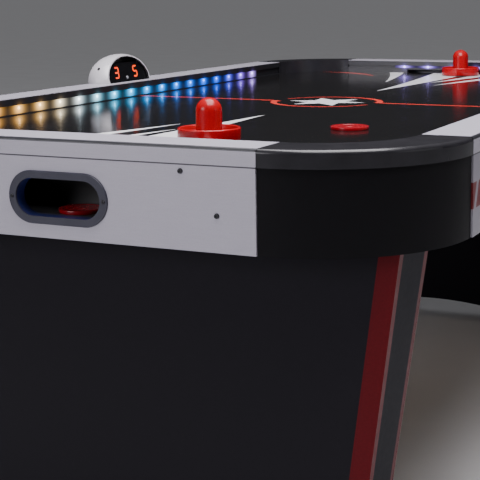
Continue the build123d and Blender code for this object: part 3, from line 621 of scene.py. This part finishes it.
def make_field():
    """The sheet: printed top with real holes in it, their walls and floors, and the sheet's edge and back."""
    black, red, white, core = range(4)
    outline = rounded_outline(half_x, half_y, field_corner, goal_half, goal_notch)
    holes = hole_places()
    drilled = set(holes)
    rims = [disc(x, y, hole_radius, hole_sides) for x, y in holes]
    red_shapes, white_shapes = field_shapes()
    verts, faces = flat_sheet([outline] + rims + red_shapes + white_shapes)
    red_boxes = [(shape_box(s), s) for s in red_shapes]
    white_boxes = [(shape_box(s), s) for s in white_shapes]
    top, bottom = field_high[2], field_low[2]
    kept, kinds = [], []
    for face in faces:
        x = sum(verts[k][0] for k in face) / len(face)
        y = sum(verts[k][1] for k in face) / len(face)
        if in_hole(drilled, x, y) or not inside(outline, x, y):
            continue
        kept.append(tuple(face))
        kinds.append(white if within(white_boxes, x, y) else red if within(red_boxes, x, y) else black)
    coords = [(v[0], v[1], top) for v in verts]
    for rim in rims:
        first = len(coords)
        coords += [(x, y, top) for x, y in rim] + [(x, y, top - hole_depth) for x, y in rim]
        floor = first + hole_sides
        for k in range(hole_sides):
            n = (k + 1) % hole_sides
            kept.append((first + k, first + n, floor + n, floor + k))
            kinds.append(core)
        kept.append(tuple(floor + k for k in range(hole_sides)))
        kinds.append(core)
    first, count = len(coords), len(outline)
    coords += [(x, y, top) for x, y in outline] + [(x, y, bottom) for x, y in outline]
    for k in range(count):
        n = (k + 1) % count
        kept.append((first + n, first + k, first + count + k, first + count + n))
        kinds.append(core)
    kept.append(tuple(first + count + k for k in reversed(range(count))))
    kinds.append(core)
    mesh = bpy.data.meshes.new("field_sheet")
    mesh.from_pydata(coords, [], kept)
    mesh.polygons.foreach_set("material_index", kinds)
    for material in (
        field_paint("field_black", (0.0060, 0.0058, 0.0062), 0.14),
        field_paint("field_red", (0.70, 0.045, 0.030), 0.16),
        field_paint("field_white", (0.74, 0.74, 0.76), 0.16),
        raw_board(),
    ):
        mesh.materials.append(material)
    mesh.update()
    sheet = bpy.data.objects.new("field_sheet", mesh)
    scene.collection.objects.link(sheet)
    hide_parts("playfield")
    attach(sheet, "table")


make_field()

# ---- mallets and pucks, turned finely ------------------------------------------------------------


def turned(name, profile, centre, z, segments, material, sharp_over):
    """A turned piece from (radius, height) pairs, on an upright axis, smooth up to an angle in degrees."""
    mesh = bmesh.new()
    rings = []
    for radius, height in profile:
        if radius == 0:
            rings.append([mesh.verts.new((centre[0], centre[1], z + height))])
            continue
        rings.append([mesh.verts.new((*p, z + height)) for p in disc(*centre, radius, segments)])
    for a, b in zip(rings, rings[1:]):
        for k in range(segments):
            n = (k + 1) % segments
            ring = [a[k % len(a)], a[n % len(a)], b[n % len(b)], b[k % len(b)]]
            unique = list(dict.fromkeys(ring))
            if len(unique) > 2:
                mesh.faces.new(unique)
    bmesh.ops.recalc_face_normals(mesh, faces=mesh.faces)
    data = bpy.data.meshes.new(name)
    mesh.to_mesh(data)
    mesh.free()
    data.polygons.foreach_set("use_smooth", [True] * len(data.polygons))
    data.set_sharp_from_angle(angle=math.radians(sharp_over))
    data.materials.append(material)
    piece = bpy.data.objects.new(name, data)
    scene.collection.objects.link(piece)
    return piece


def red_plastic(name, colour):
    """Glossy injection-moulded red with flow clouds and fine scuffs."""
    net = Net(name)
    flow = net.noise(26.0, 5.0, 0.6)
    scuff = net.noise(1.0, 4.0, 0.7, net.stretched((150.0, 150.0, 900.0)))
    net.set(colour=net.ramp(flow, [(0.3, shade(colour, 0.88)), (0.7, shade(colour, 1.10))]))
    net.set(rough=net.span(scuff, 0.20, 0.32), specular=0.28)
    net.bump(scuff, 0.10, 0.00006)
    return net.material


mallet_red = red_plastic("mallet_red", (0.30, 0.0006, 0.0040))
puck_red = red_plastic("puck_red", (0.21, 0.002, 0.007))


def round_size(low, high):
    """A round piece's centre over the table, its radius and its height, from its box."""
    centre = ((low[0] + high[0]) / 2, (low[1] + high[1]) / 2)
    return centre, (high[0] - low[0]) / 2, high[2] - low[2]


def make_mallet(which):
    low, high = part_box(f"mallet_{which}")
    centre, big, tall = round_size(low, high)
    grip, rim, valley, wall = 0.024, 0.024, 0.013, 0.003
    lip, root = 0.0027, 0.0045
    dome = tall - grip
    profile = [(grip - wall, 0.010), (big - 0.006, 0.008), (big - 0.006, 0.0)]
    profile += [(big - 0.001, 0.0005), (big, 0.003), (big, rim - 0.003)]
    profile += arc(big - lip, rim - lip, lip, 10, 170, 10)
    profile += [(big - 0.007, valley + 0.004)]
    profile += arc(big - 0.007 - root, valley + root, root, -5, -90, 6)
    profile += arc(grip + root, valley + root, root, -90, -180, 6)
    profile += [(grip, dome)] + arc(0.0, dome, grip, 4, 90, 18)[:-1] + [(0.0, tall)]
    piece = turned(f"mallet_body_{which}", profile, centre, low[2], 128, mallet_red, 50.0)
    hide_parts(f"mallet_{which}")
    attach(piece, f"mallet_{which}")


def make_puck(which):
    low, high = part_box(f"puck_{which}")
    centre, r, t = round_size(low, high)
    hollow, pip, eased, round_in = 0.0006, 0.0002, 0.001, 0.0003
    profile = [(0.0, hollow), (r - 0.007, hollow), (r - 0.0074, 0.0)]
    profile += [(r - eased, 0.0), (r - round_in, round_in), (r, eased)]
    profile += [(r, t - eased), (r - round_in, t - round_in), (r - eased, t)]
    profile += [(r - 0.0066, t), (r - 0.007, t - hollow)]
    profile += [(0.010, t - hollow), (0.0095, t - pip), (0.0, t - pip)]
    piece = turned(f"puck_disc_{which}", profile, centre, low[2], 96, puck_red, 30.0)
    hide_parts(f"puck_{which}")
    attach(piece, f"puck_{which}")


for which in ("near", "far"):
    make_mallet(which)
for which in ("field", "return"):
    make_puck(which)

# ---- soft edges on the CAD boards ----------------------------------------------------------------


def soften(width, *names):
    """Round the sharp edges of CAD boards."""
    for name in names:
        bevel = nodes[name].modifiers.new("soft_edge", "BEVEL")
        bevel.width = width
        bevel.segments = 2
        bevel.limit_method = "ANGLE"
        bevel.angle_limit = math.radians(50)
        bevel.harden_normals = False


soften(0.0004, *[f"rail_{s}" for s in sides])
soften(0.0011, *[f"apron_{s}" for s in sides])

# ---- floor, light --------------------------------------------------------------------------------


def make_floor():
    grid = bmesh.new()
    bmesh.ops.create_grid(grid, x_segments=8, y_segments=8, size=600.0)
    data = bpy.data.meshes.new("floor")
    grid.to_mesh(data)
    grid.free()
    net = Net("floor_pale")
    net.set(colour=net.ramp(net.noise(3.0, 4.0), [(0.3, (0.66, 0.66, 0.67)), (0.7, (0.70, 0.70, 0.71))]))
    net.set(rough=0.8)
    net.bump(net.noise(220.0, 3.0), 0.1, 0.0004)
    data.materials.append(net.material)
    floor = bpy.data.objects.new("floor", data)
    scene.collection.objects.link(floor)


def area_light(name, place, target, size, power, colour=(1.0, 1.0, 1.0)):
    """A soft box at place that faces target, in metres and watts."""
    data = bpy.data.lights.new(name, "AREA")
    data.shape = "RECTANGLE"
    data.size, data.size_y = size
    data.energy = power
    data.color = colour
    lamp = bpy.data.objects.new(name, data)
    scene.collection.objects.link(lamp)
    lamp.location = place
    lamp.rotation_euler = (Vector(target) - Vector(place)).to_track_quat("-Z", "Y").to_euler()


def make_studio():
    """A world that is dark at the horizon and grey overhead."""
    world = bpy.data.worlds.new("studio")
    world.use_nodes = True
    sky = world.node_tree
    height = sky.nodes.new("ShaderNodeSeparateXYZ")
    sky.links.new(sky.nodes.new("ShaderNodeTexCoord").outputs["Generated"], height.inputs[0])
    fade = sky.nodes.new("ShaderNodeValToRGB")
    horizon, zenith = fade.color_ramp.elements
    horizon.position, horizon.color = 0.30, (0.020, 0.020, 0.022, 1.0)
    zenith.position, zenith.color = 0.90, (0.36, 0.36, 0.37, 1.0)
    sky.links.new(height.outputs["Z"], fade.inputs[0])
    sky.links.new(fade.outputs[0], sky.nodes["Background"].inputs["Color"])
    scene.world = world


make_floor()
area_light("overhead", (0.45, -0.7, 3.0), (0.15, -0.3, 0.8), (1.8, 2.6), 235.0, (1.0, 0.975, 1.0))
area_light("front_left", (-2.2, -5.2, 2.2), (0.0, -0.9, 0.7), (2.2, 1.6), 118.0, (0.97, 0.95, 1.0))
area_light("right_low", (4.6, -0.6, 1.5), (0.5, 0.0, 0.6), (2.4, 1.6), 10.0)
make_studio()
